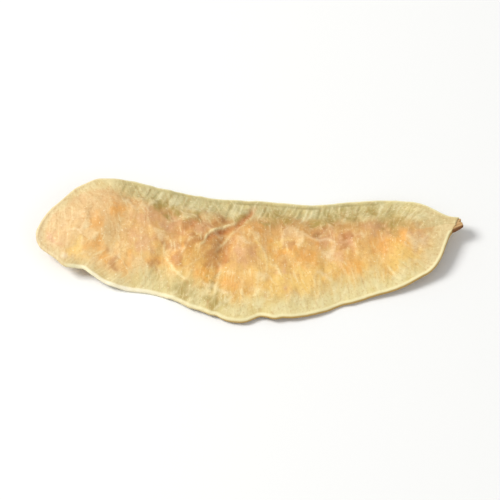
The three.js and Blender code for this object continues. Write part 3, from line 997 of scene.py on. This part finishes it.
# Each tint lies over the ones before it: what it follows, the two levels of that between which
# it comes in, how much of it there is at most, and its colour.
SKIN_TINTS = [
    # Parchment over the seeds: straw and tan in clouds, strokes and mottles.
    ("clouds", 0.40, 0.60, 0.70, "#e8bb75"),
    ("strokes", 0.46, 0.64, 0.60, "#d4985a"),
    ("mottles", 0.50, 0.68, 0.55, "#eec06c"),
    ("mottles", 0.46, 0.32, 0.40, "#f7dda6"),
    ("hollow_half", 0.0, 1.0, 0.40, "#ca955b"),
    ("belly_half", 0.0, 1.0, 0.40, "#f2c76e"),
    ("style_end", 0.0, 1.0, 0.50, "#e2c695"),
    ("gold", 0.0, 1.0, 0.70, "#f6cd74"),
    ("rose", 0.0, 1.0, 0.65, "#dca77c"),
    ("amber", 0.0, 1.0, 0.65, "#eca446"),
    # Brown stains, and painted shade beside the folds and along the hollow side's slope.
    ("umber_and_shade", 0.0, 1.0, 0.70, "#b3733a"),
    # Painted shade on the slope inside the hollow side's margin.
    ("hollow_slope_shade", 0.0, 1.0, 0.55, "#b68a52"),
    # The flat margin, cream to straw, grey-green where it has kept some of its green, deepened with
    # painted shade.
    ("margin", 0.15, 0.85, 1.00, "#dfcb88"),
    ("bloom", 0.2, 0.9, 0.70, "#ebdda6"),
    ("style_margin", 0.0, 1.0, 0.75, "#d0b084"),
    ("neck", 0.0, 1.0, 0.55, "#dcbc8a"),
    ("sage_and_shade", 0.0, 1.0, 0.90, "#beb27e"),
    ("stria", 0.56, 0.85, 0.65, "#efe4b4"),
    ("stria", 0.44, 0.15, 0.65, "#98874f"),
    ("olive", 0.0, 1.0, 0.80, "#a38a3e"),
    # Folds and hollows darkened with painted shade, and crests lit with a painted highlight.
    ("fold_shade", 0.0, 1.0, 0.85, "#bd6a2c"),
    ("sunk_shade", 0.5, 1.0, 0.30, "#ba823f"),
    ("brush", 0.54, 0.74, 0.62, "#fbe7ae"),
    ("brush", 0.46, 0.28, 0.40, "#b98040"),
    ("vein", 0.0, 1.0, 0.35, "#f6e2ad"),
    ("crest_highlight", 0.0, 1.0, 0.35, "#fbe6b4"),
    # Pale wrinkles: partly the skin's own pallor, partly a painted highlight.
    ("wrinkle_and_highlight", 0.0, 1.0, 0.90, "#ffecb0"),
    ("flecks", 0.53, 0.72, 0.40, "#bd8749"),
    ("flecks", 0.37, 0.29, 0.60, "#ffefc2"),
    ("scar", 0.0, 1.0, 0.80, "#f4dab2"),
    # The suture cord: painted shade in its groove, its pale top, partly a painted highlight, and painted
    # shade on the side under it.
    # Painted shade in the groove.
    ("groove", 0.0, 1.0, 0.65, "#8d7c44"),
    ("cord", 0.0, 1.0, 0.85, "#f5ebb8"),
    # Partly the cord's own pale cream, partly a painted highlight.
    ("pale_cord_and_highlight", 0.0, 1.0, 0.95, "#fff5d8"),
    ("painted_shade_face", 0.0, 1.0, 0.90, "#b98f3c"),
]
STALK_TINTS = [
    ("fibres", 0.35, 0.65, 0.90, "#d4b07e"),
    ("torn", 0.0, 1.0, 0.50, "#c39b66"),
    # Painted shade on the belly side.
    ("shaded_side", 0.2, 1.0, 0.95, "#6f4119"),
]


def colour(code):
    """An sRGB hex colour as linear red, green, blue and alpha."""
    parts = [int(code[i:i + 2], 16) / 255 for i in (1, 3, 5)]
    return [p / 12.92 if p <= 0.04045 else ((p + 0.055) / 1.055) ** 2.4 for p in parts] + [1]


def add_node(tree, kind, links=None, **settings):
    """Adds a node with its settings. links gives its inputs, each a socket or a value."""
    made = tree.nodes.new(kind)
    for name, value in settings.items():
        setattr(made, name, value)
    for name, value in (links or {}).items():
        if isinstance(value, bpy.types.NodeSocket):
            tree.links.new(value, made.inputs[name])
        else:
            made.inputs[name].default_value = value
    return made


def lay_tints(tree, ground, tints, patterns):
    """Lays tints over a ground colour. A tint follows a pattern, or a value on the vertices."""
    laid = colour(ground)
    for follows, start, end, most, code in tints:
        level = patterns.get(follows)
        if level is None:
            level = add_node(tree, "ShaderNodeAttribute", attribute_name=follows).outputs["Fac"]
        share = add_node(tree, "ShaderNodeMapRange",
                         {"Value": level, "From Min": start, "From Max": end, "To Max": most})
        laid = add_node(tree, "ShaderNodeMix",
                        {FACTOR: share.outputs["Result"], FIRST: laid, SECOND: colour(code)},
                        data_type="RGBA").outputs[MIXED]
    return laid


def parchment():
    """Dried legume wall: thin parchment-like skin that grew and dried in fine strokes across the
    pod, so the eye sees soft brushed streaks, small mottles and a faint waxy sheen."""
    material = bpy.data.materials.new("dried_pod_parchment")
    material.use_nodes = True
    tree = material.node_tree
    shader = tree.nodes["Principled BSDF"]
    place = add_node(tree, "ShaderNodeTexCoord").outputs["Object"]
    grain = add_node(tree, "ShaderNodeUVMap", uv_map="grain").outputs["UV"]
    patterns = {}
    # Each pattern's size in millimetres along and across the pod, and how rough it is. The real
    # flecks and tooth are finer still, and are drawn as coarse as they need to show.
    for name, where, unit, along, across, rough in (
        ("clouds", place, MM, 5.0, 5.0, 0.55),
        ("mottles", place, MM, 1.4, 1.4, 0.55),
        ("flecks", place, MM, 0.3, 0.3, 0.55),
        ("tooth", place, MM, 0.22, 0.22, 0.6),
        ("wear", place, MM, 1.5, 1.5, 0.5),
        ("strokes", grain, 1, 1.1, 3.6, 0.6),
        ("brush", grain, 1, 0.36, 2.8, 0.65),
    ):
        scale = (1 / (along * unit), 1 / (across * unit), 1 / (along * unit))
        drawn = add_node(tree, "ShaderNodeMapping", {"Vector": where, "Scale": scale})
        patterns[name] = add_node(tree, "ShaderNodeTexNoise",
                                  {"Vector": drawn.outputs["Vector"], "Scale": 1.0, "Detail": 4.0,
                                   "Roughness": rough}).outputs["Fac"]
    tree.links.new(lay_tints(tree, SKIN_GROUND, SKIN_TINTS, patterns), shader.inputs["Base Color"])
    sheen = add_node(tree, "ShaderNodeMapRange",
                     {"Value": patterns["wear"], "From Min": 0.3, "From Max": 0.7,
                      "To Min": SKIN_ROUGHNESS[0], "To Max": SKIN_ROUGHNESS[1]})
    tree.links.new(sheen.outputs["Result"], shader.inputs["Roughness"])
    shader.inputs["IOR"].default_value = DRY_PLANT_IOR
    tooth = add_node(tree, "ShaderNodeBump",
                     {"Height": patterns["tooth"], "Strength": 0.4, "Distance": 0.03 * MM})
    scored = add_node(tree, "ShaderNodeBump",
                      {"Height": patterns["brush"], "Strength": 0.6, "Distance": 0.06 * MM,
                       "Normal": tooth.outputs["Normal"]})
    tree.links.new(scored.outputs["Normal"], shader.inputs["Normal"])
    return material


def dry_stalk():
    """Dead herbaceous stalk: matt and fibrous, so the eye sees fine threads along it, tan on top,
    painted shade in dark brown on the belly side, and paler where it is freshly torn."""
    material = bpy.data.materials.new("dry_stalk_fibre")
    material.use_nodes = True
    tree = material.node_tree
    shader = tree.nodes["Principled BSDF"]
    place = add_node(tree, "ShaderNodeTexCoord").outputs["Object"]
    run = math.atan2(STUB_END[1] - STUB_START[1], STUB_END[0] - STUB_START[0])
    scale = (1 / (THREAD_LENGTH * MM), 1 / (THREAD_WIDTH * MM), 1 / (THREAD_WIDTH * MM))
    turned_back = add_node(tree, "ShaderNodeMapping", {"Vector": place, "Rotation": (0, 0, -run)})
    drawn = add_node(tree, "ShaderNodeMapping",
                     {"Vector": turned_back.outputs["Vector"], "Scale": scale})
    fibres = add_node(tree, "ShaderNodeTexNoise",
                      {"Vector": drawn.outputs["Vector"], "Scale": 1.0, "Detail": 4.0})
    patterns = {"fibres": fibres.outputs["Fac"]}
    tree.links.new(lay_tints(tree, STALK_GROUND, STALK_TINTS, patterns), shader.inputs["Base Color"])
    shader.inputs["Roughness"].default_value = STALK_ROUGHNESS
    shader.inputs["IOR"].default_value = DRY_PLANT_IOR
    threads = add_node(tree, "ShaderNodeBump",
                       {"Height": fibres.outputs["Fac"], "Strength": 0.7, "Distance": 0.05 * MM})
    tree.links.new(threads.outputs["Normal"], shader.inputs["Normal"])
    return material


stub.data.materials.clear()
stub.data.materials.append(dry_stalk())
pod_skin.data.materials.clear()
pod_skin.data.materials.append(parchment())


# ---------------------------------------------------------------------------------------------
# Floor, light and camera.

FLOOR_RADIUS = 2.0           # in metres
DAYLIGHT = 0.45              # what comes from all round
ELEVATION = math.radians(57)
LENS = 180
SENSOR = 36
SHARE_OF_WIDTH = 0.86        # how much of the view's width the pod fills


def plain(name, code, roughness):
    """A smooth even finish of one colour, such as card or paint."""
    material = bpy.data.materials.new(name)
    material.use_nodes = True
    shader = material.node_tree.nodes["Principled BSDF"]
    shader.inputs["Base Color"].default_value = colour(code)
    shader.inputs["Roughness"].default_value = roughness
    return material


def soft_box(name, place, size, watts):
    """A square soft light that looks at the pod from a place in millimetres."""
    light = bpy.data.lights.new(name, "AREA")
    light.size = size * MM
    light.energy = watts
    lamp = bpy.data.objects.new(name, light)
    lamp.location = Vector(place) * MM
    lamp.rotation_euler = (-lamp.location).to_track_quat("-Z", "Y").to_euler()
    bpy.context.scene.collection.objects.link(lamp)


bpy.ops.object.select_all(action="DESELECT")
bpy.ops.mesh.primitive_circle_add(vertices=128, radius=FLOOR_RADIUS, fill_type="NGON")
floor = bpy.context.object
floor.name = "floor"
floor.data.materials.append(plain("matt white card", "#f4f4f2", 0.9))

soft_box("window", place=(-430, 80, 455), size=240, watts=3.4)
soft_box("fill", place=(480, -400, 420), size=480, watts=0.8)

world = bpy.data.worlds.new("studio")
world.use_nodes = True
sky = world.node_tree.nodes["Background"]
sky.inputs["Color"].default_value = (1, 1, 1, 1)
sky.inputs["Strength"].default_value = DAYLIGHT
bpy.context.scene.world = world

low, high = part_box("pod")
camera_data = bpy.data.cameras.new("camera")
camera_data.lens = LENS
camera_data.sensor_width = SENSOR
camera_data.clip_start = 0.01
camera = bpy.data.objects.new("camera", camera_data)
bpy.context.scene.collection.objects.link(camera)
back = Vector((0, -math.cos(ELEVATION), math.sin(ELEVATION)))
view_width = (high.x - low.x) / SHARE_OF_WIDTH
camera.location = (low + high) / 2 + back * (view_width * LENS / SENSOR)
camera.rotation_euler = back.to_track_quat("Z", "Y").to_euler()
bpy.context.scene.camera = camera
bpy.context.scene.view_settings.view_transform = "Standard"

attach(pod_skin, "root")
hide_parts("pod")
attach(stub, "root")
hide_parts("pod")
